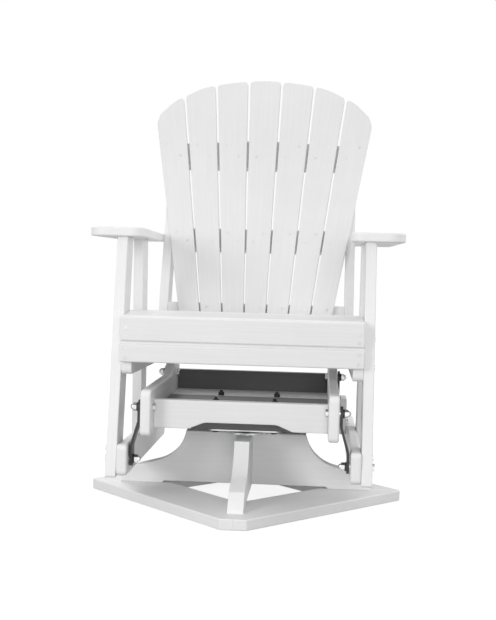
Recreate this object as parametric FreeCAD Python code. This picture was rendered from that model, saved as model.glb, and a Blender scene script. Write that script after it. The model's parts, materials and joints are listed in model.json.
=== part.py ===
import FreeCAD, Part
import math
import os

os.makedirs("parts", exist_ok=True)
Vec = FreeCAD.Vector

# Sizes are in millimetres. The chair faces -Y, +Z is up, left is -X.

# Stock: one-inch boards, thicker pedestal boards, thinner slats.
board_t = 25.4
slat_t = 19.0
pedestal_t = 38.0
armrest_t = 22.2
edge_round = 2.5
seam_groove = 1.2

# Diamond base.
base_tip = 404.0
base_board_w = 142.0
base_front_cut = 30.0
tip_round = 14.0
cut_round = 8.0
base_inner = base_tip - base_board_w * math.sqrt(2.0)

# Crossed pedestal boards.
pedestal_h = 137.6
foot_reach = 322.0
toe_nose = 6.0
toe_rise = 36.0
foot_setback = 6.0
pedestal_relief = 5.0
column_half = 154.0
waist_out = 12.0
waist_h = 74.2
waist_share = 0.967
pedestal_top = board_t + pedestal_h

# Swivel: the stack from the pedestal top to the deck.
plate_t = 5.0
lower_plate_r = 60.0
hub_r = 12.0
hub_fit = 0.05
hub_short = 1.0
ball_r = 3.0
ball_ring_r = 43.0
ball_ring_w = 12.0
ball_lift = 0.4
ball_count = 30
bearing_h = 8.0
upper_plate_x = 180.0
upper_plate_y = 176.0
spacer_t = 40.0
spacer_margin_x = 45.0
spacer_margin_y = 10.0
rib_ahead = 95.0
rib_behind = 60.0
swivel_bolt_inset = 16.0
swivel_bolt_r = 4.0
swivel_bolt_end = 5.0
upper_plate_z = pedestal_top + plate_t + bearing_h
spacer_z = upper_plate_z + plate_t
deck_z = spacer_z + spacer_t
deck_top = deck_z + board_t

# Carriage rails, placed about the deck and the pivots.
rail_in = 207.0
rail_below_deck = 34.0
rail_h = 109.0
pivot_front_y = -240.0
pivot_rear_y = 180.0
pivot_in_rail = 65.0
pivot_rise = 40.0
rail_nose = 35.0
rail_tail = 45.0
ear_over_pivot = 34.0
ear_ahead = 40.0
ear_ramp = 65.0
head_room = 14.0
front_board_h = 68.0
front_board_lift = 14.0
rear_board_h = 102.0
rear_board_lift = 10.0
recess_half = 124.0
recess_run = 38.0
recess_rise = 16.0
rail_round = 6.0
rail_out = rail_in + board_t
rail_low = deck_z - rail_below_deck
rail_top = rail_low + rail_h
pivot_front_z = rail_low + pivot_in_rail
pivot_rear_z = pivot_front_z + pivot_rise
front_board_y = pivot_front_y + head_room
deck_front = front_board_y + board_t
rear_board_y = pivot_rear_y + head_room

# Glide arms, their bolts and bushes.
arm_length = 124.0
link_t = 6.0
link_w = 34.0
link_step = 17.4
link_bend = 32.0
bolt_r = 5.0
bolt_head_h = 6.4
bolt_head_w = 16.0
head_pocket = 1.5
nut_w = 17.0
nut_h = 8.0
bush_wall = 2.9
bush_fit = 0.05
bush_seat = 0.1
flange_r = 10.5
flange_t = 4.0
washer_r = 11.0
washer_t = 2.0
side_play = 0.4
hole_fit = 0.2
link_up_in = rail_out + washer_t + side_play
link_low_out = link_up_in + link_t + link_step
nut_reach = washer_t + side_play + link_t + flange_t + side_play

# Chair side frames, hung on the lower pivots.
leg_w = 76.0
leg_ahead = 40.0
leg_below_rail = 4.0
front_leg_lean = 102.5
rear_leg_top_y = 43.0
rear_leg_lean = 25.0
lower_rail_below = 36.0
lower_rail_h = 74.0
lower_rail_nose = 38.0
lower_rail_tail = 150.0
pad_ahead = 45.0
pad_behind = 50.0
pad_over = 71.0
pad_lap = 26.0
pad_lag_inset = 15.0
seat_rail_in = link_low_out + side_play + washer_t
seat_rail_out = seat_rail_in + board_t
pad_in = seat_rail_in - link_step
leg_out = seat_rail_out + board_t
low_pivot_front_z = pivot_front_z - arm_length
low_pivot_rear_z = pivot_rear_z - arm_length
lower_rail_z = low_pivot_front_z - lower_rail_below
leg_foot_z = lower_rail_z - leg_below_rail
front_leg_foot_y = pivot_front_y - leg_ahead
front_leg_top_y = front_leg_foot_y + front_leg_lean
rear_leg_foot_y = rear_leg_top_y + rear_leg_lean

# Seat: front boards, then slats along a run of (back, up) steps from the front edge.
seat_front_y = -232.0
seat_front_z = 467.0
seat_run = [(0.0, 0.0), (87.0, 9.0), (182.0, 6.0), (282.0, 0.0), (372.0, -7.0), (454.0, -15.0)]
seat_gap = 7.0
front_gap = 3.0
front_lip = 1.0
front_upper_h = 58.0
front_groove = 7.0
front_groove_deep = 8.0
front_round = 4.0
front_lower_h = 43.0
seat_rail_h = 140.0
seat_rail_fall = 9.0
seat_rail_tail = 88.0
seat_rail_drop = 37.0
front_face_y = seat_front_y - front_gap - slat_t
seat_line = [(seat_front_y + run, seat_front_z + rise) for run, rise in seat_run]
seat_rail_rear = seat_line[-1][0] + seat_rail_tail
seat_rail_rear_top = seat_front_z - seat_rail_drop
seat_rail_low = seat_front_z - seat_rail_h
front_upper_z = seat_front_z - front_lip - front_upper_h
front_lower_z = front_upper_z - front_groove - front_lower_h

# Fan back, drawn in its own leaning plane: x across, s up the slope.
recline = 19.7
back_behind_seat = 17.7
back_below_front = 9.1
fan_half = 31.1
fan_spread = 0.02555
slat_start = -30.0
slat_gap_low = 1.8
slat_gap_grow = 0.0022
upper_brace_rise = 454.0
upper_brace_h = 90.0
upper_brace_half = 285.0
upper_brace_bow = 16.0
middle_brace_rise = 194.0
middle_brace_h = 66.0
lower_brace_rise = -28.0
lower_brace_h = 62.0
tongue_t = 10.0
upright_start = -100.0
upright_depth = 72.0
upright_top_depth = 28.0
upright_short = 8.0
back_y = seat_line[-1][0] + back_behind_seat
back_z = seat_front_z - back_below_front
upright_in = seat_rail_in - tongue_t
upright_out = upright_in + board_t
back_place = FreeCAD.Placement(Vec(0, back_y, back_z), FreeCAD.Rotation(Vec(1, 0, 0), -recline))

# Tops of the slats from the middle one (0) outwards: share of the width, s and corner radius.
slat_tops = {
    0: [(1, 731.0, 10.0), (0.5, 735.0, 300.0), (0, 731.0, 10.0)],
    1: [(1, 717.5, 10.0), (0.5, 726.0, 300.0), (0, 731.0, 10.0)],
    2: [(1, 679.0, 14.0), (0.45, 706.0, 200.0), (0, 717.0, 9.0)],
    3: [(1, 588.0, 12.0), (0.86, 617.0, 22.0), (0.3, 663.0, 80.0), (0, 676.0, 8.0)],
}
slat_count = 2 * len(slat_tops) - 1

# Armrests, on the legs, narrowing to the outer faces of the uprights.
armrest_z = 655.0
armrest_inside = 3.0
armrest_outside = 69.6
armrest_nose = 14.5
armrest_past_notch = 94.0
notch_gap = 4.0
armrest_top = armrest_z + armrest_t
armrest_in = upright_in - armrest_inside
armrest_out = leg_out + armrest_outside
armrest_front = front_leg_top_y - armrest_nose

# Fasteners.
screw_head_r = 4.2
screw_head_t = 2.6
screw_r = 2.3
lag_head_r = 7.5
lag_head_t = 3.5
lag_r = 4.0
screw_fit = 0.15
screw_bite = 28.0
screw_edge = 10.0
front_screw_low = 11.0
front_screw_high = 31.0
upper_screw_low = 14.0
upper_screw_high = 58.0
middle_screw_low = 6.0
middle_screw_high = 18.0
long_bite = 36.0


def spot(along, level, a, b):
    """A point given across (a, b) at a level along one axis."""
    if along == "x":
        return Vec(level, a, b)
    if along == "y":
        return Vec(a, level, b)
    return Vec(a, b, level)


def rounded_wire(points, radii):
    """A closed flat outline whose corners are rounded by the given radii."""
    count = len(points)
    runs = []
    for i in range(count):
        here = points[i]
        if radii[i] <= 0:
            runs.append((here, here, None))
            continue
        back = (points[i - 1] - here).normalize()
        ahead = (points[(i + 1) % count] - here).normalize()
        half = back.getAngle(ahead) / 2.0
        reach = radii[i] / math.tan(half)
        middle = (back + ahead).normalize()
        crown = here + middle * (radii[i] / math.sin(half) - radii[i])
        runs.append((here + back * reach, here + ahead * reach, crown))
    edges = []
    for i in range(count):
        first, last, crown = runs[i]
        if crown is not None:
            edges.append(Part.Arc(first, crown, last).toShape())
        following = runs[(i + 1) % count][0]
        if last.distanceToPoint(following) > 1e-6:
            edges.append(Part.LineSegment(last, following).toShape())
    return Part.Wire(edges)


def flat_edges(solid, along):
    """The edges that lie in the two end faces of an extruded board."""
    found = []
    for edge in solid.Edges:
        box = edge.BoundBox
        span = {"x": box.XLength, "y": box.YLength, "z": box.ZLength}[along]
        if span < 1e-5:
            found.append(edge)
    return found


def eased(solid, along, radius=edge_round):
    return solid.makeFillet(radius, flat_edges(solid, along))


def board(along, outline, start, end, radius=edge_round):
    """A board cut to an outline of (a, b, corner radius), with softened edges."""
    low = min(start, end)
    high = max(start, end)
    points = [spot(along, low, a, b) for a, b, r in outline]
    wire = rounded_wire(points, [r for a, b, r in outline])
    solid = Part.Face(wire).extrude(spot(along, high - low, 0.0, 0.0))
    if radius > 0:
        solid = eased(solid, along, radius)
    return solid


def rectangle(a0, b0, a1, b1, r=0.0):
    return [(a0, b0, r), (a1, b0, r), (a1, b1, r), (a0, b1, r)]


def rod(start, direction, length, radius):
    return Part.makeCylinder(radius, length, start, direction)


def placed(shape, placement):
    out = shape.copy()
    out.Placement = placement.multiply(out.Placement)
    return out


def hexagon(center, direction, across, height):
    """A hexagonal prism for bolt heads and nuts."""
    radius = across / math.sqrt(3.0)
    turns = [corner * math.pi / 3 for corner in range(7)]
    points = [Vec(radius * math.cos(turn), radius * math.sin(turn), 0) for turn in turns]
    prism = Part.Face(Part.makePolygon(points)).extrude(Vec(0, 0, height))
    return placed(prism, FreeCAD.Placement(center, FreeCAD.Rotation(Vec(0, 0, 1), direction)))


def screw_shape(start, direction, length, grow=0.0):
    """A flush screw from a surface point inwards; grow makes its hole."""
    head = rod(start, direction, screw_head_t, screw_head_r + grow)
    shank = rod(start, direction, length + 2.0 * grow, screw_r + grow)
    return head.fuse(shank).removeSplitter()


def lag_shape(start, direction, length):
    """A lag screw whose low round head stands on the surface point."""
    top = start - direction * lag_head_t
    head = rod(top, direction, lag_head_t, lag_head_r)
    rim = [edge for edge in head.Edges if edge.BoundBox.Center.distanceToPoint(top) < 0.1]
    head = head.makeFillet(0.4 * lag_head_t, rim)
    return head.fuse(rod(start, direction, length, lag_r)).removeSplitter()


class Fasteners:
    """The fasteners of one node, with the holes that they need."""

    def __init__(self):
        self.solids = []
        self.holes = []

    def screw(self, start, direction, length):
        self.bolt(screw_shape(start, direction, length), screw_shape(start, direction, length, screw_fit))

    def lag(self, start, direction, length):
        hole = rod(start, direction, length + screw_fit, lag_r + screw_fit)
        self.bolt(lag_shape(start, direction, length), hole)

    def bolt(self, solid, hole):
        self.solids.append(solid)
        self.holes.append(hole)


def drilled(solid, holes):
    box = solid.BoundBox
    tools = [hole for hole in holes if box.intersect(hole.BoundBox)]
    if tools:
        solid = solid.cut(tools)
    return solid


parts = {}


def keep(node, shape):
    solids = shape.Solids
    if not solids:
        raise ValueError(node)
    parts[node] = solids[0] if len(solids) == 1 else Part.makeCompound(solids)


base_screws = Fasteners()
swivel_bolts = Fasteners()
carriage_screws = Fasteners()
upper_bolts = Fasteners()
lower_bolts = Fasteners()
frame_lags = Fasteners()
chair_screws = Fasteners()


# Base: a diamond frame sawn into four mitred boards.
def base_ring():
    flat = base_tip - base_front_cut
    outer = [
        (-base_tip, 0.0, tip_round),
        (-base_front_cut, -flat, cut_round),
        (base_front_cut, -flat, cut_round),
        (base_tip, 0.0, tip_round),
        (base_front_cut, flat, cut_round),
        (-base_front_cut, flat, cut_round),
    ]
    inner = [
        (-base_inner, 0.0, 0.0),
        (0.0, -base_inner, 0.0),
        (base_inner, 0.0, 0.0),
        (0.0, base_inner, 0.0),
    ]
    ring = board("z", outer, 0.0, board_t, 0.0).cut(board("z", inner, 0.0, board_t, 0.0))
    return eased(ring, "z")


def seam_tools():
    """Fine grooves over the mitre seams, on top and down the cut ends."""
    side = seam_groove * math.sqrt(2.0)
    reach = 1.1 * base_tip
    tools = []
    for turn in (0.0, 90.0):
        bar = Part.makeBox(2.0 * reach, side, side, Vec(-reach, -side / 2.0, -side / 2.0))
        bar.rotate(Vec(0, 0, 0), Vec(1, 0, 0), 45.0)
        bar.rotate(Vec(0, 0, 0), Vec(0, 0, 1), turn)
        bar.translate(Vec(0, 0, board_t))
        tools.append(bar)
    for y in (base_front_cut - base_tip, base_tip - base_front_cut):
        bar = Part.makeBox(side, side, 2.0 * board_t, Vec(-side / 2.0, -side / 2.0, -board_t / 2.0))
        bar.rotate(Vec(0, 0, 0), Vec(0, 0, 1), 45.0)
        bar.translate(Vec(0, y, 0))
        tools.append(bar)
    return tools


def base_boards():
    ring = base_ring().cut(seam_tools())
    span = 1.1 * base_tip
    corners = {
        "base_board_front_left": (-span, -span),
        "base_board_front_right": (0.0, -span),
        "base_board_rear_left": (-span, 0.0),
        "base_board_rear_right": (0.0, 0.0),
    }
    for node, (x, y) in corners.items():
        quarter = Part.makeBox(span, span, 2.0 * board_t, Vec(x, y, -board_t / 2.0))
        keep(node, drilled(ring.common(quarter), base_screws.holes))


# Pedestal: two arched boards crossing in a half lap.
def waist_round(foot, waist, neck):
    """Radius of the waist curve, which takes up a share of the column's side."""
    up = neck - waist
    return waist_share * up.Length * math.tan(up.getAngle(foot - waist) / 2.0)


def arch_board(along):
    """One arched board standing on the base corners, drawn across r and z."""
    inner = base_inner + foot_setback
    foot = Vec(foot_reach - toe_rise, board_t + toe_nose + toe_rise)
    waist = Vec(column_half + waist_out, board_t + waist_h)
    neck = Vec(column_half, pedestal_top)
    half = [
        (inner, board_t + pedestal_relief, 0.0),
        (inner + pedestal_relief, board_t, 0.0),
        (foot_reach, board_t, 0.0),
        (foot_reach, board_t + toe_nose, 4.0),
        (foot.x, foot.y, 10.0),
        (waist.x, waist.y, waist_round(foot, waist, neck)),
        (neck.x, neck.y, 0.0),
    ]
    outline = half + [(-r, z, corner) for r, z, corner in reversed(half)]
    return board(along, outline, -pedestal_t / 2.0, pedestal_t / 2.0, 2.0)


def pedestal_boards():
    half = pedestal_t / 2.0
    middle = (board_t + pedestal_relief + pedestal_top) / 2.0
    upper = Part.makeBox(pedestal_t, pedestal_t, pedestal_top, Vec(-half, -half, middle))
    lower = Part.makeBox(pedestal_t, pedestal_t, pedestal_top, Vec(-half, -half, middle - pedestal_top))
    keep("pedestal_arch_side", drilled(arch_board("y").cut(upper), base_screws.holes))
    keep("pedestal_arch_fore", drilled(arch_board("x").cut(lower), base_screws.holes))


def plan_base_screws():
    """Two screws rise into each pedestal foot, one from each mitred board."""
    inner = base_inner + foot_setback + pedestal_relief
    aside = pedestal_t / 4.0
    for turn in (0, 90, 180, 270):
        spin = FreeCAD.Rotation(Vec(0, 0, 1), turn)
        for share, offset in ((0.2, aside), (0.6, -aside)):
            at = Vec(inner + (foot_reach - inner) * share, offset, 0.0)
            base_screws.screw(spin.multVec(at), Vec(0, 0, 1), board_t + 0.7 * toe_rise)
        at = Vec(lower_plate_r - 2.0 * screw_head_r, 0.0, pedestal_top + plate_t)
        base_screws.screw(spin.multVec(at), Vec(0, 0, -1), plate_t + long_bite)


# Swivel: a plate with a hub below, a plate on a ball ring above, and the spacer. The
# spacer's rib rises between the two deck boards and reaches from rail to rail.
def swivel_parts():
    top = pedestal_top + plate_t
    plate = Part.makeCylinder(lower_plate_r, plate_t, Vec(0, 0, pedestal_top))
    rim = [edge for edge in flat_edges(plate, "z") if edge.BoundBox.ZMin > top - 0.1]
    plate = plate.makeFillet(0.2 * plate_t, rim)
    hub = Part.makeCylinder(hub_r, bearing_h + plate_t - hub_short, Vec(0, 0, top))
    keep("swivel_lower_plate", drilled(plate.fuse(hub).removeSplitter(), base_screws.holes))

    middle = top + ball_lift + ball_r
    tall = upper_plate_z - middle
    ring = Part.makeCylinder(ball_ring_r + ball_ring_w / 2.0, tall, Vec(0, 0, middle))
    ring = ring.cut(Part.makeCylinder(ball_ring_r - ball_ring_w / 2.0, tall, Vec(0, 0, middle)))
    balls = []
    for i in range(ball_count):
        angle = 2.0 * math.pi * i / ball_count
        at = Vec(ball_ring_r * math.cos(angle), ball_ring_r * math.sin(angle), middle)
        balls.append(Part.makeSphere(ball_r, at))
    keep("swivel_ball_ring", ring.fuse(balls).removeSplitter())

    half_x = upper_plate_x / 2.0
    half_y = upper_plate_y / 2.0
    outline = rectangle(-half_x, -half_y, half_x, half_y, 12.0)
    upper = board("z", outline, upper_plate_z, spacer_z, 0.2 * plate_t)
    upper = upper.cut(Part.makeCylinder(hub_r + hub_fit, 3.0 * plate_t, Vec(0, 0, upper_plate_z - plate_t)))
    keep("swivel_upper_plate", drilled(upper, swivel_bolts.holes))

    half_x += spacer_margin_x
    half_y += spacer_margin_y
    block = board("z", rectangle(-half_x, -half_y, half_x, half_y, 6.0), spacer_z, deck_z)
    rib = board("z", rectangle(-rail_in, -rib_ahead, rail_in, rib_behind), deck_z, deck_top)
    keep("swivel_spacer", drilled(block.fuse(rib).removeSplitter(), swivel_bolts.holes))


def plan_swivel_bolts():
    """Bolts up through plate, spacer and deck, with washers and nuts on top."""
    up = Vec(0, 0, 1)
    head_h = 5.0
    nut_tall = 6.8
    washer = 1.6
    across = 3.25 * swivel_bolt_r
    for sx in (-1, 1):
        for sy in (-1, 1):
            x = sx * (upper_plate_x / 2.0 - swivel_bolt_inset)
            y = sy * (upper_plate_y / 2.0 - swivel_bolt_inset)
            head = hexagon(Vec(x, y, upper_plate_z - head_h), up, across, head_h)
            length = deck_top - upper_plate_z + washer + nut_tall + swivel_bolt_end
            shank = rod(Vec(x, y, upper_plate_z), up, length, swivel_bolt_r)
            ring = rod(Vec(x, y, deck_top), up, washer, 2.0 * swivel_bolt_r)
            nut = hexagon(Vec(x, y, deck_top + washer), up, across, nut_tall)
            solid = head.fuse([shank, ring, nut]).removeSplitter()
            hole = rod(Vec(x, y, upper_plate_z), up, deck_top - upper_plate_z, swivel_bolt_r + hole_fit)
            swivel_bolts.bolt(solid, hole)


# Carriage: two eared rails joined by a front board, a rear board and two deck boards.
deck_spans = ((deck_front, -rib_ahead), (rib_behind, rear_board_y))


def plan_carriage_screws():
    front = front_board_y + board_t / 2.0
    rear = rear_board_y + board_t / 2.0
    front_low = rail_low + front_board_lift
    rear_low = rail_low + rear_board_lift
    deck = (deck_z + deck_top) / 2.0
    places = []
    for share in (0.2, 0.8):
        places.append((front, front_low + front_board_h * share))
        places.append((rear, rear_low + rear_board_h * share))
        for start, end in deck_spans:
            places.append((start + (end - start) * share, deck))
    for side in (-1, 1):
        for y, z in places:
            carriage_screws.screw(Vec(side * rail_out, y, z), Vec(-side, 0, 0), board_t + long_bite)


def eared_rail(nose, tail, low, top, ear_top, ear_start, ramp):
    """A rail outline in y and z whose top ramps up to an ear at the rear."""
    return [
        (nose, low, 12.0),
        (tail, low, 20.0),
        (tail, ear_top, 22.0),
        (ear_start, ear_top, 30.0),
        (ear_start - ramp, top, 50.0),
        (nose, top, 16.0),
    ]


def carriage_parts():
    nose = pivot_front_y - rail_nose
    tail = pivot_rear_y + rail_tail
    ear_top = pivot_rear_z + ear_over_pivot
    outline = eared_rail(nose, tail, rail_low, rail_top, ear_top, pivot_rear_y - ear_ahead, ear_ramp)
    holes = carriage_screws.holes + upper_bolts.holes
    for side, name in ((-1, "left"), (1, "right")):
        rail = board("x", outline, side * rail_in, side * rail_out, rail_round)
        keep("carriage_rail_" + name, drilled(rail, holes))

    low = rail_low + front_board_lift
    high = low + front_board_h
    half = [
        (rail_in, high, 0.0),
        (rail_in, low, 0.0),
        (recess_half, low, 18.0),
        (recess_half - recess_run, low + recess_rise, 40.0),
    ]
    outline = half + [(-x, z, r) for x, z, r in reversed(half)]
    front = board("y", outline, front_board_y, front_board_y + board_t)
    keep("carriage_front_board", drilled(front, holes))

    low = rail_low + rear_board_lift
    outline = rectangle(-rail_in, low, rail_in, low + rear_board_h)
    rear = board("y", outline, rear_board_y, rear_board_y + board_t)
    keep("carriage_rear_board", drilled(rear, holes))

    decks = []
    for start, end in deck_spans:
        deck = board("z", rectangle(-rail_in, start, rail_in, end), deck_z, deck_top)
        decks.append(drilled(deck, holes + swivel_bolts.holes))
    keep("carriage_deck", Part.makeCompound(decks))


# Pivots: each bolt carries a washer against its board and an acorn nut past the arm.
pivots = {
    "front_left": (-1, pivot_front_y, pivot_front_z),
    "front_right": (1, pivot_front_y, pivot_front_z),
    "rear_left": (-1, pivot_rear_y, pivot_rear_z),
    "rear_right": (1, pivot_rear_y, pivot_rear_z),
}


def acorn(center, direction):
    """An acorn nut standing on its flat face."""
    crown = center + direction * nut_h
    body = hexagon(center, direction, nut_w, nut_h)
    dome = Part.makeSphere(0.42 * nut_w, crown)
    return body.fuse(dome.common(rod(crown, direction, nut_w, nut_w))).removeSplitter()


def pivot_bolt(y, z, head_x, washer_x, nut_x):
    """A bolt along x from its head face, with a washer on its board, to the nut."""
    way = Vec(math.copysign(1.0, nut_x - head_x), 0, 0)
    head = hexagon(Vec(head_x, y, z) - way * bolt_head_h, way, bolt_head_w, bolt_head_h)
    shank = rod(Vec(head_x, y, z), way, abs(nut_x - head_x), bolt_r)
    washer = rod(Vec(washer_x, y, z), way, washer_t, washer_r)
    return head.fuse([shank, washer, acorn(Vec(nut_x, y, z), way)]).removeSplitter()


def plan_pivots():
    """The bolts of all pivots; the rear lower heads lie in pockets of the lower rails."""
    for name, (side, y, z) in pivots.items():
        solid = pivot_bolt(y, z, side * rail_in, side * rail_out, side * (rail_out + nut_reach))
        hole = rod(Vec(side * rail_in, y, z), Vec(side, 0, 0), board_t, bolt_r + hole_fit)
        upper_bolts.bolt(solid, hole)
        front = name.startswith("front")
        outer = leg_out if front else seat_rail_in
        inner = seat_rail_in if front else pad_in
        low = z - arm_length
        way = Vec(side, 0, 0)
        solid = pivot_bolt(y, low, side * outer, side * inner, side * (inner - nut_reach))
        hole = rod(Vec(side * inner, y, low), way, outer - inner, bolt_r + hole_fit)
        if not front:
            wide = bolt_head_w / math.sqrt(3.0) + head_pocket
            hole = hole.fuse(rod(Vec(side * outer, y, low), way, bolt_head_h + head_pocket, wide))
        lower_bolts.bolt(solid, hole)


def link_section(side, low, high, z, step):
    """The arm seen from the front: straight, or bent twice to step outwards."""
    up_out = link_up_in + link_t
    if step == 0:
        return rectangle(side * link_up_in, low, side * up_out, high)
    bend_low = z - arm_length + link_bend
    return [
        (side * link_up_in, high, 0.0),
        (side * up_out, high, 0.0),
        (side * up_out, z - link_bend, 14.0),
        (side * (up_out + step), bend_low, 8.0),
        (side * (up_out + step), low, 0.0),
        (side * (link_up_in + step), low, 0.0),
        (side * (link_up_in + step), bend_low, 14.0),
        (side * link_up_in, z - link_bend, 8.0),
    ]


def glide_link(side, y, z, step):
    """A flat steel arm with round ends and an eye in each."""
    low = z - arm_length
    half = link_w / 2.0
    strip = board("y", link_section(side, low - half, z + half, z, step), y - half, y + half, 0.0)
    outline = rectangle(y - half, low - half, y + half, z + half, half - 0.01)
    near = link_up_in - link_t
    far = link_low_out + link_t
    strip = strip.common(board("x", outline, side * near, side * far, 0.0))
    eye = bolt_r + bush_fit + bush_wall + bush_seat
    for height in (z, low):
        strip = strip.cut(rod(Vec(side * near, y, height), Vec(side, 0, 0), far - near, eye))
    return strip


def flanged_bush(y, z, face_x, way):
    """A bush through the arm eye, its flange on the face towards the nut."""
    face = Vec(face_x, y, z)
    flange = rod(face - way * flange_t, way, flange_t, flange_r)
    tube = rod(face, way, link_t, bolt_r + bush_fit + bush_wall)
    bore = rod(face - way * (flange_t + 1.0), way, flange_t + link_t + 2.0, bolt_r + bush_fit)
    return flange.fuse(tube).removeSplitter().cut(bore)


def glide_arms():
    for name, (side, y, z) in pivots.items():
        step = link_step if name.startswith("front") else 0.0
        keep("glide_arm_" + name, glide_link(side, y, z, step))
        top = flanged_bush(y, z, side * (link_up_in + link_t), Vec(-side, 0, 0))
        bottom = flanged_bush(y, z - arm_length, side * (link_up_in + step), Vec(side, 0, 0))
        keep("glide_bushes_" + name, Part.makeCompound([top, bottom]))


# Chair side frames.
legs = {"front": (front_leg_top_y, front_leg_foot_y), "rear": (rear_leg_top_y, rear_leg_foot_y)}


def leg_point(top_y, foot_y, z, share):
    """The y of a point on a leg at a height, a share of its width from the front."""
    lean = math.atan2(foot_y - top_y, armrest_z - leg_foot_z)
    front = top_y + (foot_y - top_y) * (armrest_z - z) / (armrest_z - leg_foot_z)
    return front + share * leg_w / math.cos(lean)


def leg_outline(top_y, foot_y):
    corners = [(leg_foot_z, 0, 5.0), (leg_foot_z, 1, 5.0), (armrest_z, 1, 0.0), (armrest_z, 0, 0.0)]
    return [(leg_point(top_y, foot_y, z, share), z, r) for z, share, r in corners]


def plan_frame_lags():
    low = lower_rail_z
    seat = seat_rail_low
    spots = {
        "front": ((low + 62.0, 0.18), (low + 14.0, 0.76), (seat + 30.0, 0.5), (seat + 96.0, 0.6)),
        "rear": ((low + 18.0, 0.4), (low + 54.0, 0.6), (seat + 22.0, 0.4), (seat + 88.0, 0.4)),
    }
    middle = armrest_z + armrest_t / 2.0
    rear = armrest_notch() + armrest_past_notch
    for side in (-1, 1):
        way = Vec(-side, 0, 0)
        for name, (top_y, foot_y) in legs.items():
            for z, share in spots[name]:
                at = Vec(side * leg_out, leg_point(top_y, foot_y, z, share), z)
                frame_lags.lag(at, way, 1.75 * board_t)
        for deep, s in ((0.4, 0.45), (0.6, 0.75)):
            at = back_place.multVec(Vec(0, slat_t + upright_depth * deep, upright_start * s))
            frame_lags.lag(Vec(side * seat_rail_out, at.y, at.z), way, board_t + 0.7 * tongue_t)
        for inset in (26.0, 10.0):
            at = Vec(side * upright_in, rear - inset, middle)
            frame_lags.lag(at, Vec(side, 0, 0), board_t + long_bite)
        for pad in (pivot_rear_y - 0.45 * pad_ahead, pivot_rear_y + pad_behind - pad_lag_inset):
            at = Vec(side * seat_rail_out, pad, low + lower_rail_h - pad_lap / 2.0)
            frame_lags.lag(at, way, board_t + 0.7 * link_step)


def side_frames():
    nose = pivot_front_y - lower_rail_nose
    tail = pivot_rear_y + lower_rail_tail
    rail = rectangle(nose, lower_rail_z, tail, lower_rail_z + lower_rail_h, 12.0)
    pad_front = pivot_rear_y - pad_ahead
    pad_rear = pivot_rear_y + pad_behind
    pad_low = lower_rail_z + lower_rail_h - pad_lap
    pad = rectangle(pad_front, pad_low, pad_rear, low_pivot_rear_z + pad_over, 14.0)
    holes = frame_lags.holes + lower_bolts.holes + chair_screws.holes
    pads = []
    for side, name in ((-1, "left"), (1, "right")):
        low = side * seat_rail_in
        mid = side * seat_rail_out
        high = side * leg_out
        for end, (top_y, foot_y) in legs.items():
            leg = board("x", leg_outline(top_y, foot_y), mid, high)
            keep("%s_leg_%s" % (end, name), drilled(leg, holes))
        keep("lower_rail_" + name, drilled(board("x", rail, low, mid, rail_round), holes))
        keep("seat_rail_" + name, drilled(board("x", seat_rail_outline(), low, mid), holes))
        keep("armrest_" + name, drilled(armrest(side), holes))
        pads.append(drilled(board("x", pad, side * pad_in, low), holes))
    keep("rear_pivot_pads", Part.makeCompound(pads))


# Armrests.
def armrest_notch():
    """Where the inner edge of an armrest meets its upright: just ahead of the outer back slat."""
    return back_y + (armrest_z - back_z) * math.tan(math.radians(recline)) - notch_gap


def armrest(side):
    notch = armrest_notch()
    rear = notch + armrest_past_notch
    outline = [
        (side * armrest_in, armrest_front, 30.0),
        (side * armrest_out, armrest_front, 40.0),
        (side * armrest_out, rear, 40.0),
        (side * upright_out, rear, 0.0),
        (side * upright_out, notch, 0.0),
    ]
    return board("z", outline, armrest_z, armrest_top, 4.0)


def plan_armrest_screws():
    middle = (seat_rail_out + leg_out) / 2.0
    for side in (-1, 1):
        for top_y, foot_y in legs.values():
            for share in (0.25, 0.75):
                at = Vec(side * middle, leg_point(top_y, foot_y, armrest_z, share), armrest_top)
                chair_screws.screw(at, Vec(0, 0, -1), armrest_t + long_bite)


# Seat: slats on chords of the seat line, the rails cut to carry them, and the front boards,
# of which the lower has a tongue behind the groove.
def chord(i):
    """Start, direction and length of the i-th seat chord, in y and z."""
    y0, z0 = seat_line[i]
    y1, z1 = seat_line[i + 1]
    length = math.hypot(y1 - y0, z1 - z0)
    return y0, z0, (y1 - y0) / length, (z1 - z0) / length, length


def rail_top_points():
    """Where the undersides of neighbouring slats meet."""
    lines = []
    for i in range(len(seat_line) - 1):
        y, z, dy, dz, length = chord(i)
        lines.append((y + dz * slat_t, z - dy * slat_t, dy, dz, length))
    points = [lines[0][:2]]
    for one, two in zip(lines, lines[1:]):
        cross = one[2] * two[3] - one[3] * two[2]
        t = ((two[0] - one[0]) * two[3] - (two[1] - one[1]) * two[2]) / cross
        points.append((one[0] + one[2] * t, one[1] + one[3] * t))
    y, z, dy, dz, length = lines[-1]
    points.append((y + dy * length, z + dz * length))
    return points


def seat_rail_outline():
    front = front_face_y + slat_t
    points = rail_top_points()
    slope = (points[1][1] - points[0][1]) / (points[1][0] - points[0][0])
    outline = [(front, seat_rail_low, 14.0), (seat_rail_rear, seat_rail_low - seat_rail_fall, 25.0)]
    outline += [(seat_rail_rear, seat_rail_rear_top, 8.0), (points[-1][0] + 12.0, seat_rail_rear_top, 0.0)]
    outline += [(y, z, 0.0) for y, z in reversed(points[1:])]
    outline.append((front, points[0][1] + slope * (front - points[0][0]), 0.0))
    return outline


def seat_places():
    """Number, placement and width of each seat slat; its top face is local z = 0."""
    for i in range(len(seat_line) - 1):
        y, z, dy, dz, length = chord(i)
        start = Vec(0, y + dy * seat_gap / 2.0, z + dz * seat_gap / 2.0)
        turn = FreeCAD.Rotation(Vec(1, 0, 0), math.degrees(math.atan2(dz, dy)))
        yield i + 1, FreeCAD.Placement(start, turn), length - seat_gap


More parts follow.
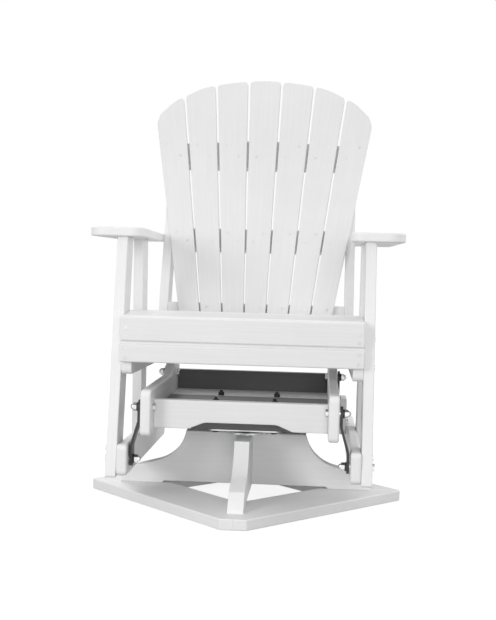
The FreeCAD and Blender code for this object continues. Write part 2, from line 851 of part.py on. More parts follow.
def plan_seat_screws():
    middle = (seat_rail_in + seat_rail_out) / 2.0
    heights = [front_upper_z + front_screw_low, front_upper_z + front_screw_high]
    heights += [front_lower_z + screw_edge, front_lower_z + front_lower_h - screw_edge]
    for side in (-1, 1):
        for number, place, width in seat_places():
            down = place.Rotation.multVec(Vec(0, 0, -1))
            for share in (0.25, 0.75):
                at = place.multVec(Vec(side * middle, width * share, 0))
                chair_screws.screw(at, down, slat_t + screw_bite)
        for z in heights:
            chair_screws.screw(Vec(side * middle, front_face_y, z), Vec(0, 1, 0), slat_t + screw_bite)


def seat_parts():
    for number, place, width in seat_places():
        slat = board("z", rectangle(-seat_rail_out, 0.0, seat_rail_out, width), -slat_t, 0.0, 4.0)
        keep("seat_slat_%d" % number, drilled(placed(slat, place), chair_screws.holes))
    back = front_face_y + slat_t
    high = front_upper_z + front_upper_h
    upper = rectangle(-seat_rail_out, front_upper_z, seat_rail_out, high, 3.0)
    front = board("y", upper, front_face_y, back, front_round)
    keep("seat_front_upper", drilled(front, chair_screws.holes))
    high = front_lower_z + front_lower_h
    tongue = front_face_y + front_groove_deep
    lower = [
        (front_face_y, front_lower_z, front_round),
        (back, front_lower_z, front_round),
        (back, front_upper_z, 0.0),
        (tongue, front_upper_z, 0.0),
        (tongue, high, 0.0),
        (front_face_y, high, front_round),
    ]
    front = board("x", lower, -seat_rail_out, seat_rail_out, 2.0)
    keep("seat_front_lower", drilled(front, chair_screws.holes))


# Fan back, built upright in its own plane and then leant back.
def fan_x(k, s):
    return k * (fan_half + fan_spread * s)


def slat_outline(number):
    """Outline of a slat, counted from the middle one outwards."""
    inner = 2 * number - 1
    outer = 2 * number + 1

    def edge(k, s, inward):
        return fan_x(k, s) + inward * (slat_gap_low + slat_gap_grow * max(s, 0.0))

    outline = [
        (edge(inner, slat_start, 1), slat_start, 2.0),
        (edge(outer, slat_start, -1), slat_start, 2.0),
    ]
    for share, s, radius in slat_tops[number]:
        left = edge(inner, s, 1)
        right = edge(outer, s, -1)
        outline.append((left + (right - left) * share, s, radius))
    return outline


def slats():
    """Number from left to right, side and outline step of each back slat."""
    middle = slat_count // 2
    for index in range(slat_count):
        yield index + 1, 1 if index >= middle else -1, abs(index - middle)


braces = {
    "upper": (upper_brace_rise, upper_brace_h),
    "middle": (middle_brace_rise, middle_brace_h),
    "lower": (lower_brace_rise, lower_brace_h),
}


def plan_back_screws():
    into = back_place.Rotation.multVec(Vec(0, 1, 0))
    for number, side, step in slats():
        for low, tall in braces.values():
            for share in (0.3, 0.7):
                s = low + tall * share
                k = 2 * step + (share - 0.5) * 2.0
                at = back_place.multVec(Vec(side * fan_x(k, s), 0, s))
                chair_screws.screw(at, into, slat_t + 0.8 * board_t)
    middle = (upright_in + upright_out) / 2.0
    ends = [middle_brace_rise + middle_screw_low, middle_brace_rise + middle_screw_high]
    ends += [lower_brace_rise + screw_edge, lower_brace_rise + lower_brace_h - screw_edge]
    for side in (-1, 1):
        for s in (upper_brace_rise + upper_screw_low, upper_brace_rise + upper_screw_high):
            at = back_place.multVec(Vec(side * middle, slat_t, s))
            chair_screws.screw(at, into, board_t + 0.75 * upright_top_depth)
        for s in ends:
            at = back_place.multVec(Vec(side * upright_out, slat_t + board_t / 2.0, s))
            chair_screws.screw(at, Vec(-side, 0, 0), board_t + long_bite)


def back_parts():
    for number, side, step in slats():
        outline = [(side * x, s, r) for x, s, r in slat_outline(step)]
        slat = placed(board("y", outline, 0.0, slat_t, 3.0), back_place)
        keep("back_slat_%d" % number, drilled(slat, chair_screws.holes))
    for name, (low, tall) in braces.items():
        high = low + tall
        outline = rectangle(-upright_in, low, upright_in, high)
        if name == "upper":
            half = upper_brace_half
            shoulder = high - upper_brace_bow
            outline = [(-half, low, 8.0), (half, low, 8.0), (half, shoulder, 10.0)]
            outline += [(0.0, high, 700.0), (-half, shoulder, 10.0)]
        brace = placed(board("y", outline, slat_t, slat_t + board_t), back_place)
        keep("back_brace_" + name, drilled(brace, chair_screws.holes))


def back_uprights():
    """Uprights rabbeted for the upper brace and shouldered onto the seat rails."""
    rabbet = slat_t + board_t
    top = upper_brace_rise + upper_brace_h - upper_brace_bow - upright_short
    outline = [
        (slat_t, upright_start, 10.0),
        (slat_t + upright_depth, upright_start, 10.0),
        (rabbet + upright_top_depth, top, 8.0),
        (rabbet, top, 4.0),
        (rabbet, upper_brace_rise, 0.0),
        (slat_t, upper_brace_rise, 0.0),
    ]
    holes = chair_screws.holes + frame_lags.holes
    deep = seat_rail_rear_top
    for side, name in ((-1, "left"), (1, "right")):
        post = placed(board("x", outline, side * upright_in, side * upright_out, 2.0), back_place)
        away = min(side * seat_rail_in, side * seat_rail_out)
        shoulder = Part.makeBox(board_t, 2.0 * deep, deep, Vec(away, back_y - deep, 0.0))
        keep("back_upright_" + name, drilled(post.cut(shoulder), holes))


plan_base_screws()
plan_swivel_bolts()
plan_carriage_screws()
plan_pivots()
plan_frame_lags()
plan_seat_screws()
plan_back_screws()
plan_armrest_screws()

base_boards()
pedestal_boards()
swivel_parts()
carriage_parts()
glide_arms()
side_frames()
seat_parts()
back_parts()
back_uprights()

groups = {
    "base_screws": base_screws,
    "swivel_bolts": swivel_bolts,
    "carriage_screws": carriage_screws,
    "upper_pivot_bolts": upper_bolts,
    "lower_pivot_bolts": lower_bolts,
    "frame_lag_screws": frame_lags,
    "chair_screws": chair_screws,
}
for node, group in groups.items():
    parts[node] = Part.makeCompound(group.solids)

for node, shape in parts.items():
    if not shape.isValid():
        print("not valid:", node)
    shape.exportStep("parts/%s.step" % node)
print(len(parts), "parts written")
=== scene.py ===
# %% [markdown]
# # A swivel glider chair in white poly lumber
# The solids of this chair come from a CAD model, already in metres and in their places.
# Blender adds what CAD leaves out: the look of the boards, the steel and the black bearings,
# screws with a real drive in their heads, and a picture of it all in soft light.

# %% Load the frame
import json
import math
import bmesh
import bpy
import numpy as np
from mathutils import Matrix, Vector


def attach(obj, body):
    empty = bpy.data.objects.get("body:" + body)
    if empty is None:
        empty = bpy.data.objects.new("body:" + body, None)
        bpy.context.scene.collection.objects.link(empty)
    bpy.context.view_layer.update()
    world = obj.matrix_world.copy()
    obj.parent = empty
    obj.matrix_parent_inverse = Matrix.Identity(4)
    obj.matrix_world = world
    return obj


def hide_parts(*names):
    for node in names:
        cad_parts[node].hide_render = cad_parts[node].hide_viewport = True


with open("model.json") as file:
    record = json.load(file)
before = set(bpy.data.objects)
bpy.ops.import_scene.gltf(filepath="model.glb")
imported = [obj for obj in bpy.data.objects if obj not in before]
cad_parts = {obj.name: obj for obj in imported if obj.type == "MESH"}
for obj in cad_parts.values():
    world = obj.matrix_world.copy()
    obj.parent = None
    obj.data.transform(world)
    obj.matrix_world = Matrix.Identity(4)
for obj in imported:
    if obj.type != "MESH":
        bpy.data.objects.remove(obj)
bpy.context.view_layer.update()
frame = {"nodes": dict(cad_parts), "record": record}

scene = bpy.context.scene
nodes = frame["nodes"]

# %% [markdown]
# ## The camera
# The photograph looks at the chair from the front, a little from the right and from below the
# armrests, whose undersides show. The square base and the upright boards gave the place of the
# lens, its turn and its focal length, so the numbers are written here and nothing is aimed by
# eye. A lens of this length keeps the sides of the chair nearly parallel.

# %% Camera
lens_at = Vector((0.1738, -2.642, 0.5953))
turn, dip, roll = 0.0671, 0.0445, 0.0255
sensor_mm = 36.0
focal_mm = 74.76

cam_data = bpy.data.cameras.new("photo_camera")
cam_data.sensor_fit = "HORIZONTAL"
cam_data.sensor_width = sensor_mm
cam_data.lens = focal_mm
camera = bpy.data.objects.new("photo_camera", cam_data)
scene.collection.objects.link(camera)
aim = Matrix.Rotation(turn, 4, "Z") @ Matrix.Rotation(math.pi / 2 - dip, 4, "X")
camera.matrix_world = Matrix.Translation(lens_at) @ aim @ Matrix.Rotation(roll, 4, "Z")
scene.camera = camera
print("camera at", tuple(lens_at), "lens", cam_data.lens)

# %% [markdown]
# ## Floor, background and light
# The photograph has a pure white ground. More light would bleach the white boards, so the
# whiteness comes from the floor and the world themselves: both ask Light Path what kind of ray
# has come. A ray from the camera, or one mirrored by metal, sees white; every other ray sees a
# plain floor and a calm sky, and those do the lighting. The floor still takes the shadow.

# %% A switch for what the camera sees
def seen_directly(tree):
    """1 for rays from the camera or by way of metal and glass, 0 for the rays that light things."""
    path = tree.nodes.new("ShaderNodeLightPath")
    first = tree.nodes.new("ShaderNodeMath")
    first.operation = "MAXIMUM"
    second = tree.nodes.new("ShaderNodeMath")
    second.operation = "MAXIMUM"
    tree.links.new(path.outputs["Is Camera Ray"], first.inputs[0])
    tree.links.new(path.outputs["Is Glossy Ray"], first.inputs[1])
    tree.links.new(first.outputs[0], second.inputs[0])
    tree.links.new(path.outputs["Is Transmission Ray"], second.inputs[1])
    return second.outputs[0]


# %% Floor
floor_grey = (0.35, 0.35, 0.35, 1)
shadow_grey = (0.25, 0.25, 0.25, 1)
floor_glow = 0.84
floor_reach = 9.0
floor_drop = 0.0006

floor_mat = bpy.data.materials.new("pale_floor")
floor_mat.use_nodes = True
tree = floor_mat.node_tree
tree.nodes.clear()
plain = tree.nodes.new("ShaderNodeBsdfDiffuse")
plain.inputs["Color"].default_value = floor_grey
shadowed = tree.nodes.new("ShaderNodeBsdfDiffuse")
shadowed.inputs["Color"].default_value = shadow_grey
glow = tree.nodes.new("ShaderNodeEmission")
glow.inputs["Strength"].default_value = floor_glow
both = tree.nodes.new("ShaderNodeAddShader")
pick = tree.nodes.new("ShaderNodeMixShader")
out = tree.nodes.new("ShaderNodeOutputMaterial")
tree.links.new(shadowed.outputs[0], both.inputs[0])
tree.links.new(glow.outputs[0], both.inputs[1])
tree.links.new(seen_directly(tree), pick.inputs[0])
tree.links.new(plain.outputs[0], pick.inputs[1])
tree.links.new(both.outputs[0], pick.inputs[2])
tree.links.new(pick.outputs[0], out.inputs["Surface"])

floor_mesh = bpy.data.meshes.new("floor")
corners = [(x * floor_reach, y * floor_reach, 0) for x, y in ((-1, -1), (1, -1), (1, 1), (-1, 1))]
floor_mesh.from_pydata(corners, [], [(0, 1, 2, 3)])
floor = bpy.data.objects.new("floor", floor_mesh)
floor.location.z = -floor_drop
floor_mesh.materials.append(floor_mat)
scene.collection.objects.link(floor)
print("floor:", 2 * floor_reach, "m wide")

# %% World
sky_level = 0.70
ground_white = 1.0

world = bpy.data.worlds.new("white_room")
scene.world = world
world.use_nodes = True
tree = world.node_tree
tree.nodes.clear()
calm = tree.nodes.new("ShaderNodeBackground")
calm.inputs["Color"].default_value = (1, 1, 1, 1)
calm.inputs["Strength"].default_value = sky_level
white = tree.nodes.new("ShaderNodeBackground")
white.inputs["Color"].default_value = (1, 1, 1, 1)
white.inputs["Strength"].default_value = ground_white
pick = tree.nodes.new("ShaderNodeMixShader")
out = tree.nodes.new("ShaderNodeOutputWorld")
tree.links.new(seen_directly(tree), pick.inputs[0])
tree.links.new(calm.outputs[0], pick.inputs[1])
tree.links.new(white.outputs[0], pick.inputs[2])
tree.links.new(pick.outputs[0], out.inputs["Surface"])
print("sky level:", sky_level)

# %% Lamps
def soft_lamp(name, at, target, size, watts):
    """A round lamp that faces its target."""
    data = bpy.data.lights.new(name, "AREA")
    data.shape = "DISK"
    data.size = size
    data.energy = watts
    lamp = bpy.data.objects.new(name, data)
    lamp.location = at
    lamp.rotation_euler = (Vector(target) - Vector(at)).to_track_quat("-Z", "Y").to_euler()
    scene.collection.objects.link(lamp)


soft_lamp("key_lamp", at=(-1.8, -2.7, 1.15), target=(0, 0, 0.4), size=1.2, watts=28.0)
soft_lamp("front_lamp", at=(0.6, -3.2, 0.75), target=(0, 0, 0.45), size=1.2, watts=18.0)
soft_lamp("top_lamp", at=(0.1, 0.2, 3.1), target=(0, 0, 0.3), size=1.6, watts=8.0)
soft_lamp("side_lamp", at=(2.5, 0.7, 1.5), target=(0, 0, 0.45), size=1.4, watts=14.0)
soft_lamp("back_lamp", at=(-1.2, 2.7, 1.6), target=(0, 0, 0.5), size=1.4, watts=18.0)
scene.view_settings.view_transform = "Standard"

# %% [markdown]
# ## White poly lumber
# The boards are planks of solid plastic. Their wide faces carry a fine grain that runs along the
# plank, and the routed edges look a little brighter. A picture would show the same plank again
# and again, so the grain is noise that is stretched along the board.
# Every board needs the same grain in its own direction: one node group holds it, and each
# material turns the coordinates so that x runs along its board.

# %% Small helpers for node trees
def add(tree, kind, **values):
    """A node whose properties and input sockets are set by name; spaces in a socket are _."""
    node = tree.nodes.new(kind)
    for name, value in values.items():
        if hasattr(node, name):
            setattr(node, name, value)
        else:
            node.inputs[name.replace("_", " ")].default_value = value
    return node


def maths(tree, operation, one, two):
    """A Math node; each side is a socket or a number."""
    node = tree.nodes.new("ShaderNodeMath")
    node.operation = operation
    for socket, value in zip(node.inputs, (one, two)):
        if isinstance(value, (int, float)):
            socket.default_value = value
        else:
            tree.links.new(value, socket)
    return node.outputs[0]


# %% The grain group
grain_squeeze = (0.018, 1.0, 1.0)
line_part, cloud_part = 0.6, 0.4
rough_least, rough_span = 0.36, 0.22
tooth_part = 0.12

grain = bpy.data.node_groups.new("lumber_grain", "ShaderNodeTree")
grain.interface.new_socket("Along board", in_out="INPUT", socket_type="NodeSocketVector")
grain.interface.new_socket("Lines per metre", in_out="INPUT", socket_type="NodeSocketFloat")
grain.interface.new_socket("Tone", in_out="OUTPUT", socket_type="NodeSocketFloat")
grain.interface.new_socket("Roughness", in_out="OUTPUT", socket_type="NodeSocketFloat")
grain.interface.new_socket("Height", in_out="OUTPUT", socket_type="NodeSocketFloat")
g_in = grain.nodes.new("NodeGroupInput")
g_out = grain.nodes.new("NodeGroupOutput")

squeeze = add(grain, "ShaderNodeVectorMath", operation="MULTIPLY")
squeeze.inputs[1].default_value = grain_squeeze
grain.links.new(g_in.outputs["Along board"], squeeze.inputs[0])
lines = add(grain, "ShaderNodeTexNoise", Detail=3.0, Roughness=0.6)
grain.links.new(squeeze.outputs[0], lines.inputs["Vector"])
grain.links.new(g_in.outputs["Lines per metre"], lines.inputs["Scale"])
clouds = add(grain, "ShaderNodeTexNoise", Scale=7.0, Detail=2.0)
grain.links.new(g_in.outputs["Along board"], clouds.inputs["Vector"])
tooth = add(grain, "ShaderNodeTexNoise", Scale=1400.0, Detail=1.0)
grain.links.new(g_in.outputs["Along board"], tooth.inputs["Vector"])

from_lines = maths(grain, "MULTIPLY", lines.outputs[0], line_part)
from_clouds = maths(grain, "MULTIPLY", clouds.outputs[0], cloud_part)
grain.links.new(maths(grain, "ADD", from_lines, from_clouds), g_out.inputs["Tone"])
rough_more = maths(grain, "MULTIPLY", lines.outputs[0], rough_span)
grain.links.new(maths(grain, "ADD", rough_more, rough_least), g_out.inputs["Roughness"])
from_tooth = maths(grain, "MULTIPLY", tooth.outputs[0], tooth_part)
grain.links.new(maths(grain, "ADD", lines.outputs[0], from_tooth), g_out.inputs["Height"])
print("group:", grain.name, len(grain.nodes), "nodes")

# %% A board material for one direction
plastic_ior = 1.5
lines_per_metre = 330.0


def lumber(name, along, flat, face, edge):
    """Lumber whose grain runs along one direction; flat is the way its wide faces look."""
    a = Vector(along).normalized()
    c = Vector(flat)
    c = (c - a * c.dot(a)).normalized()
    b = c.cross(a)
    mat = bpy.data.materials.new(name)
    mat.use_nodes = True
    tree = mat.node_tree
    shader = tree.nodes["Principled BSDF"]
    shader.inputs["IOR"].default_value = plastic_ior
    place = tree.nodes.new("ShaderNodeTexCoord")
    to_board = tree.nodes.new("ShaderNodeMapping")
    to_board.inputs["Rotation"].default_value = Matrix((a, b, c)).to_euler()
    tree.links.new(place.outputs["Object"], to_board.inputs["Vector"])
    fibre = tree.nodes.new("ShaderNodeGroup")
    fibre.node_tree = grain
    fibre.inputs["Lines per metre"].default_value = lines_per_metre
    tree.links.new(to_board.outputs[0], fibre.inputs["Along board"])

    facing = add(tree, "ShaderNodeVectorMath", operation="DOT_PRODUCT")
    facing.inputs[1].default_value = c
    tree.links.new(place.outputs["Normal"], facing.inputs[0])
    wide = add(tree, "ShaderNodeMapRange", interpolation_type="SMOOTHSTEP",
               From_Min=0.75, From_Max=0.98)
    tree.links.new(maths(tree, "ABSOLUTE", facing.outputs["Value"], 0.0), wide.inputs["Value"])

    shade = add(tree, "ShaderNodeMix", data_type="RGBA")
    shade.inputs[6].default_value = (*edge, 1)
    shade.inputs[7].default_value = (*face, 1)
    tree.links.new(wide.outputs[0], shade.inputs[0])
    vary = add(tree, "ShaderNodeMapRange",
               To_Min=0.955, To_Max=1.035, From_Min=0.3, From_Max=0.7)
    tree.links.new(fibre.outputs["Tone"], vary.inputs["Value"])
    tint = add(tree, "ShaderNodeVectorMath", operation="SCALE")
    tree.links.new(shade.outputs[2], tint.inputs[0])
    tree.links.new(vary.outputs[0], tint.inputs["Scale"])
    tree.links.new(tint.outputs[0], shader.inputs["Base Color"])
    tree.links.new(fibre.outputs["Roughness"], shader.inputs["Roughness"])
    bump = add(tree, "ShaderNodeBump", Strength=0.16, Distance=0.0003)
    tree.links.new(fibre.outputs["Height"], bump.inputs["Height"])
    tree.links.new(bump.outputs[0], shader.inputs["Normal"])
    return mat


# %% [markdown]
# ## Which way each board runs
# On the real chair the grain follows the length of every board: across the seat, up the legs, out
# along the fan of the back. A plank's longest side could be measured, but a mitred base board or
# a leaning leg has no side along an axis. So the directions are written down, board by board, and
# boards that run the same way share a material.

# %% Directions of the boards
X, Y, Z = Vector((1, 0, 0)), Vector((0, 1, 0)), Vector((0, 0, 1))
sides = ("left", "right")
back_lean = math.radians(19.7)
up_back = Vector((0, math.sin(back_lean), math.cos(back_lean)))
out_back = Vector((0, math.cos(back_lean), -math.sin(back_lean)))
# A leg goes this far back and up, in millimetres: only the slope counts.
front_leg_run = Vector((0, 102.5, 563))
rear_leg_run = Vector((0, -25, 563))
# How far a slat goes aside, for each unit of its height, more than the slat before it.
fan_step = 0.0511
middle_slat = 4

seat_slats = ["seat_slat_%d" % i for i in range(1, 6)]
fronts = ["seat_front_upper", "seat_front_lower", "carriage_front_board", "pedestal_arch_side"]
rails = [p + s for s in sides for p in ("carriage_rail_", "lower_rail_", "seat_rail_")]
braces = ["back_brace_" + p for p in ("upper", "middle", "lower")]
runs = {
    "lumber_across_flat": (X, Z, seat_slats + ["carriage_deck"]),
    "lumber_across_upright": (X, Y, fronts),
    "lumber_across_back": (X, out_back, braces),
    "lumber_fore_flat": (Y, Z, ["armrest_" + s for s in sides]),
    "lumber_fore_upright": (Y, X, rails + ["pedestal_arch_fore"]),
    "lumber_front_leg": (front_leg_run, X, ["front_leg_" + s for s in sides]),
    "lumber_rear_leg": (rear_leg_run, X, ["rear_leg_" + s for s in sides]),
    "lumber_pad": (Z, X, ["rear_pivot_pads"]),
    "lumber_back_upright": (up_back, X, ["back_upright_" + s for s in sides]),
    "lumber_base_one": (X - Y, Z, ["base_board_front_left", "base_board_rear_right"]),
    "lumber_base_two": (X + Y, Z, ["base_board_front_right", "base_board_rear_left"]),
}
for number in range(1, 8):
    slat_run = X * fan_step * (number - middle_slat) + up_back
    runs["lumber_slat_%d" % number] = (slat_run, out_back, ["back_slat_%d" % number])
print("directions:", len(runs))

# %% White lumber on the boards
white_face = (0.80, 0.80, 0.80)
white_edge = (0.85, 0.85, 0.85)


def dress(node, mat):
    """Give a CAD node one material."""
    nodes[node].data.materials.clear()
    nodes[node].data.materials.append(mat)


for name, (along, flat, members) in runs.items():
    mat = lumber(name, along, flat, white_face, white_edge)
    for node in members:
        dress(node, mat)
print("nodes in white lumber:", sum(len(members) for along, flat, members in runs.values()))

# %% [markdown]
# ## Painted shade on two boards
# Behind the deck a board looks almost black, and the block over the swivel, whose rib shows
# between the deck boards, looks as dark: both lie in the deep shade under the seat.
# They get the same lumber in near black, which is painted shade.

# %% Lumber in painted shade
# Near-black colour that paints the deep shade under the seat onto the rear board and the spacer.
painted_shade_face = (0.10, 0.10, 0.104)
painted_shade_edge = (0.13, 0.13, 0.134)
dress("carriage_rear_board", lumber("lumber_painted_shade_upright", X, Y, painted_shade_face, painted_shade_edge))
dress("swivel_spacer", lumber("lumber_painted_shade_flat", X, Z, painted_shade_face, painted_shade_edge))
print("charcoal:", nodes["carriage_rear_board"].name, nodes["swivel_spacer"].name)

# %% [markdown]
# ## Black steel, zinc and black plastic
# The arms are flat steel straps with a black powder coat, which is slightly pebbled. The swivel
# plates are pressed sheet with a zinc coat, which shows a faint crystal pattern. Bolts are bright
# stainless. One group makes fine marks, and each finish uses it at its own scale.

# %% The scratch group
scratch = bpy.data.node_groups.new("fine_scratches", "ShaderNodeTree")
scratch.interface.new_socket("Place", in_out="INPUT", socket_type="NodeSocketVector")
scratch.interface.new_socket("Stretch", in_out="INPUT", socket_type="NodeSocketVector")
scratch.interface.new_socket("Scratch", in_out="OUTPUT", socket_type="NodeSocketFloat")
scratch.interface.new_socket("Stain", in_out="OUTPUT", socket_type="NodeSocketFloat")
s_in = scratch.nodes.new("NodeGroupInput")
s_out = scratch.nodes.new("NodeGroupOutput")
pull = add(scratch, "ShaderNodeVectorMath", operation="MULTIPLY")
scratch.links.new(s_in.outputs["Place"], pull.inputs[0])
scratch.links.new(s_in.outputs["Stretch"], pull.inputs[1])
marks = add(scratch, "ShaderNodeTexNoise", Scale=1.0, Detail=3.0, Roughness=0.65)
scratch.links.new(pull.outputs[0], marks.inputs["Vector"])
stain = add(scratch, "ShaderNodeTexNoise", Scale=38.0, Detail=3.0)
scratch.links.new(s_in.outputs["Place"], stain.inputs["Vector"])
scratch.links.new(marks.outputs[0], s_out.inputs["Scratch"])
scratch.links.new(stain.outputs[0], s_out.inputs["Stain"])
print("group:", scratch.name, len(scratch.nodes), "nodes")


# %% A metal or plastic from the scratch group
def worn(name, colour, metal, smooth, rough, per_metre, dent):
    """A finish whose roughness runs from smooth to rough with the marks; dent is their depth."""
    mat = bpy.data.materials.new(name)
    mat.use_nodes = True
    tree = mat.node_tree
    shader = tree.nodes["Principled BSDF"]
    shader.inputs["Metallic"].default_value = metal
    place = tree.nodes.new("ShaderNodeTexCoord")
    wear = tree.nodes.new("ShaderNodeGroup")
    wear.node_tree = scratch
    wear.inputs["Stretch"].default_value = (per_metre, per_metre, per_metre)
    tree.links.new(place.outputs["Object"], wear.inputs["Place"])
    gloss = add(tree, "ShaderNodeMapRange",
                From_Min=0.3, From_Max=0.7, To_Min=smooth, To_Max=rough)
    tree.links.new(wear.outputs["Scratch"], gloss.inputs["Value"])
    tree.links.new(gloss.outputs[0], shader.inputs["Roughness"])
    tone = add(tree, "ShaderNodeMapRange",
               From_Min=0.3, From_Max=0.7, To_Min=0.82, To_Max=1.08)
    tree.links.new(wear.outputs["Stain"], tone.inputs["Value"])
    tint = add(tree, "ShaderNodeVectorMath", operation="SCALE")
    tint.inputs[0].default_value = colour
    tree.links.new(tone.outputs[0], tint.inputs["Scale"])
    tree.links.new(tint.outputs[0], shader.inputs["Base Color"])
    bump = add(tree, "ShaderNodeBump", Strength=0.3, Distance=dent)
    tree.links.new(wear.outputs["Scratch"], bump.inputs["Height"])
    tree.links.new(bump.outputs[0], shader.inputs["Normal"])
    return mat


# %% Put the finishes on
# Colour, metallic, least and most roughness, marks per metre and their depth in metres.
looks = {
    "arm_black": ((0.03, 0.03, 0.032), 0.0, 0.35, 0.55, 700, 0.0002),
    "plate_zinc": ((0.66, 0.67, 0.68), 1.0, 0.22, 0.42, 240, 0.0001),
    "bolt_stainless": ((0.72, 0.72, 0.72), 1.0, 0.16, 0.34, 700, 0.00005),
    "bolt_black": ((0.03, 0.03, 0.03), 0.6, 0.35, 0.55, 500, 0.00005),
    "bush_black": ((0.03, 0.03, 0.032), 0.0, 0.4, 0.6, 600, 0.00005),
    "screw_white": ((0.82, 0.82, 0.82), 0.0, 0.3, 0.45, 600, 0.00003),
}
finishes = {slot: worn(slot, *look) for slot, look in looks.items()}
slots = {s["node"]: s["material_slot"] for s in frame["record"]["subparts"]}
finished = [node for node in nodes if slots[node] in finishes]
for node in finished:
    dress(node, finishes[slots[node]])
print("metal and plastic nodes:", len(finished))

# %% [markdown]
# ## Screws with a star in the head
# The CAD screws are plain pegs, right in place and length. More than a hundred of them want a
# head with a six-lobed drive, and that is work for Geometry Nodes: a cloud of points, one for
# each screw, carries the way it looks and its length, and the node tree sets a head and a shank
# on every point. The points are measured from the CAD pegs, so a screw that moves there moves here.
# The result is turned into a plain mesh.

# %% Where the CAD pegs are
weld = 1e-6
end_slice = 1e-4


def islands(node):
    """The vertices of a CAD node, one array for each loose solid."""
    mesh = bmesh.new()
    mesh.from_mesh(nodes[node].data)
    bmesh.ops.remove_doubles(mesh, verts=mesh.verts, dist=weld)
    seen = set()
    for first in mesh.verts:
        if first in seen:
            continue
        seen.add(first)
        group = [first]
        for vert in group:
            for edge in vert.link_edges:
                other = edge.other_vert(vert)
                if other not in seen:
                    seen.add(other)
                    group.append(other)
        yield np.array([vert.co for vert in group])
    mesh.free()


def peg_line(points):
    """Top centre, outward direction and length of a peg; its head is the thicker end."""
    middle = points.mean(axis=0)
    axis = np.linalg.eigh(np.cov((points - middle).T))[1][:, 2]
    along = (points - middle) @ axis
    aside = np.linalg.norm(points - middle - np.outer(along, axis), axis=1)
    if along[aside.argmax()] < 0:
        along = -along
    top, foot = [points[abs(along - level) < end_slice].mean(axis=0)
                 for level in (along.max(), along.min())]
    line = Vector(top - foot)
    return Vector(top), line.normalized(), line.length


pegs = {name: [peg_line(points) for points in islands(name)] for name in
        ("chair_screws", "carriage_screws", "frame_lag_screws")}
print("pegs:", {name: len(found) for name, found in pegs.items()})

# %% Templates: a head with a star drive, and a shank of unit length
around = 48
lobes = 6
star_mean, star_wave = 0.88, 0.12


def turned(name, rings):
    """A closed round shape from rings of (radius at an angle, height), top centre first."""
    mesh = bmesh.new()
    loops = []
    for radius, height in rings:
        turns = [2 * math.pi * i / around for i in range(around)]
        spots = [(radius(a) * math.cos(a), radius(a) * math.sin(a), height) for a in turns]
        loops.append([mesh.verts.new(spot) for spot in spots])
    mesh.faces.new(loops[0])
    for upper, lower in zip(loops, loops[1:]):
        for i in range(around):
            j = (i + 1) % around
            mesh.faces.new((upper[i], lower[i], lower[j], upper[j]))
    mesh.faces.new(reversed(loops[-1]))
    bmesh.ops.recalc_face_normals(mesh, faces=mesh.faces)
    data = bpy.data.meshes.new(name)
    mesh.to_mesh(data)
    mesh.free()
    return bpy.data.objects.new(name, data)


def disc(radius):
    """A round outline."""
    return lambda angle: radius


def star(radius):
    """A six-lobed outline like that of a star drive."""
    return lambda angle: radius * (star_mean + star_wave * math.cos(lobes * angle))


def head(name, radius, tall, crown):
    """A screw head whose top is at height 0; crown is how far its rim is rounded down."""
    deep = 0.45 * tall
    rings = [
        (star(0.52 * radius), -deep),
        (star(0.56 * radius), -0.04 * tall),
        (star(0.60 * radius), 0.0),
        (disc(0.80 * radius), -0.15 * crown),
        (disc(0.93 * radius), -0.5 * crown),
        (disc(radius), -crown),
        (disc(radius), -tall),
    ]
    return turned(name, rings)


def shank(name, radius):
    """A plain shank, 1 m long, which each screw shortens to its own length."""
    return turned(name, [(disc(radius), 0.0), (disc(radius), -1.0)])


flush_head = head("flush_head", radius=0.0042, tall=0.0026, crown=0.0003)
round_head = head("round_head", radius=0.0075, tall=0.0035, crown=0.0016)
thin_shank = shank("thin_shank", radius=0.0023)
thick_shank = shank("thick_shank", radius=0.0040)
templates = (flush_head, round_head, thin_shank, thick_shank)
print("templates:", {t.name: len(t.data.polygons) for t in templates})

# %% The node tree that sets a screw on every point
setter = bpy.data.node_groups.new("screw_on_points", "GeometryNodeTree")
setter.interface.new_socket("Points", in_out="INPUT", socket_type="NodeSocketGeometry")
setter.interface.new_socket("Head", in_out="INPUT", socket_type="NodeSocketObject")
setter.interface.new_socket("Shank", in_out="INPUT", socket_type="NodeSocketObject")
setter.interface.new_socket("Finish", in_out="INPUT", socket_type="NodeSocketMaterial")
setter.interface.new_socket("Screws", in_out="OUTPUT", socket_type="NodeSocketGeometry")
p_in = setter.nodes.new("NodeGroupInput")
p_out = setter.nodes.new("NodeGroupOutput")
way = add(setter, "GeometryNodeInputNamedAttribute", data_type="FLOAT_VECTOR", Name="way")
length = add(setter, "GeometryNodeInputNamedAttribute", data_type="FLOAT", Name="length")
stand = add(setter, "FunctionNodeAlignRotationToVector", axis="Z")
setter.links.new(way.outputs["Attribute"], stand.inputs["Vector"])
stretch = add(setter, "ShaderNodeCombineXYZ", X=1.0, Y=1.0)
setter.links.new(length.outputs["Attribute"], stretch.inputs["Z"])
both = setter.nodes.new("GeometryNodeJoinGeometry")
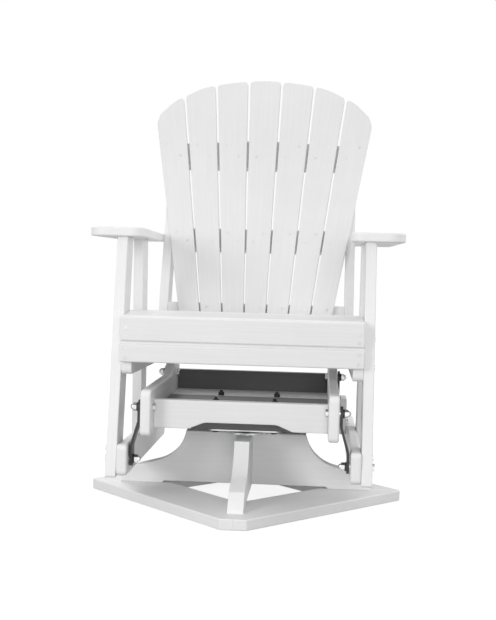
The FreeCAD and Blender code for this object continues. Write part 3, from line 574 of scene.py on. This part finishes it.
for piece in ("Head", "Shank"):
    template = setter.nodes.new("GeometryNodeObjectInfo")
    setter.links.new(p_in.outputs[piece], template.inputs["Object"])
    copies = setter.nodes.new("GeometryNodeInstanceOnPoints")
    setter.links.new(p_in.outputs["Points"], copies.inputs["Points"])
    setter.links.new(template.outputs["Geometry"], copies.inputs["Instance"])
    setter.links.new(stand.outputs[0], copies.inputs["Rotation"])
    if piece == "Shank":
        setter.links.new(stretch.outputs[0], copies.inputs["Scale"])
    setter.links.new(copies.outputs[0], both.inputs[0])
real = setter.nodes.new("GeometryNodeRealizeInstances")
paint = setter.nodes.new("GeometryNodeSetMaterial")
setter.links.new(both.outputs[0], real.inputs[0])
setter.links.new(real.outputs[0], paint.inputs["Geometry"])
setter.links.new(p_in.outputs["Finish"], paint.inputs["Material"])
setter.links.new(paint.outputs[0], p_out.inputs[0])
print("tree:", setter.name, len(setter.nodes), "nodes")


# %% Screws in place of the pegs
def screws(node, body, **inputs):
    """A plain mesh of screws that stands for a CAD node of pegs."""
    cloud = bpy.data.meshes.new(node + "_star")
    cloud.from_pydata([top for top, way, length in pegs[node]], [], [])
    ways = cloud.attributes.new("way", "FLOAT_VECTOR", "POINT")
    ways.data.foreach_set("vector", [c for top, way, length in pegs[node] for c in way])
    lengths = cloud.attributes.new("length", "FLOAT", "POINT")
    lengths.data.foreach_set("value", [length for top, way, length in pegs[node]])
    obj = bpy.data.objects.new(node + "_star", cloud)
    scene.collection.objects.link(obj)
    tool = obj.modifiers.new("screws", "NODES")
    tool.node_group = setter
    for socket in setter.interface.items_tree:
        if socket.in_out == "INPUT" and socket.name in inputs:
            tool[socket.identifier] = inputs[socket.name]
    deps = bpy.context.evaluated_depsgraph_get()
    made = bpy.data.meshes.new_from_object(obj.evaluated_get(deps), depsgraph=deps)
    obj.modifiers.clear()
    obj.data = made
    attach(obj, body)
    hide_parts(node)
    print(obj.name, len(pegs[node]), "screws,", len(made.polygons), "faces")


white_coat, stainless = finishes["screw_white"], finishes["bolt_stainless"]
screws("chair_screws", "chair", Head=flush_head, Shank=thin_shank, Finish=white_coat)
screws("carriage_screws", "carriage", Head=flush_head, Shank=thin_shank, Finish=white_coat)
screws("frame_lag_screws", "chair", Head=round_head, Shank=thick_shank, Finish=stainless)
for template in templates:
    bpy.data.objects.remove(template)
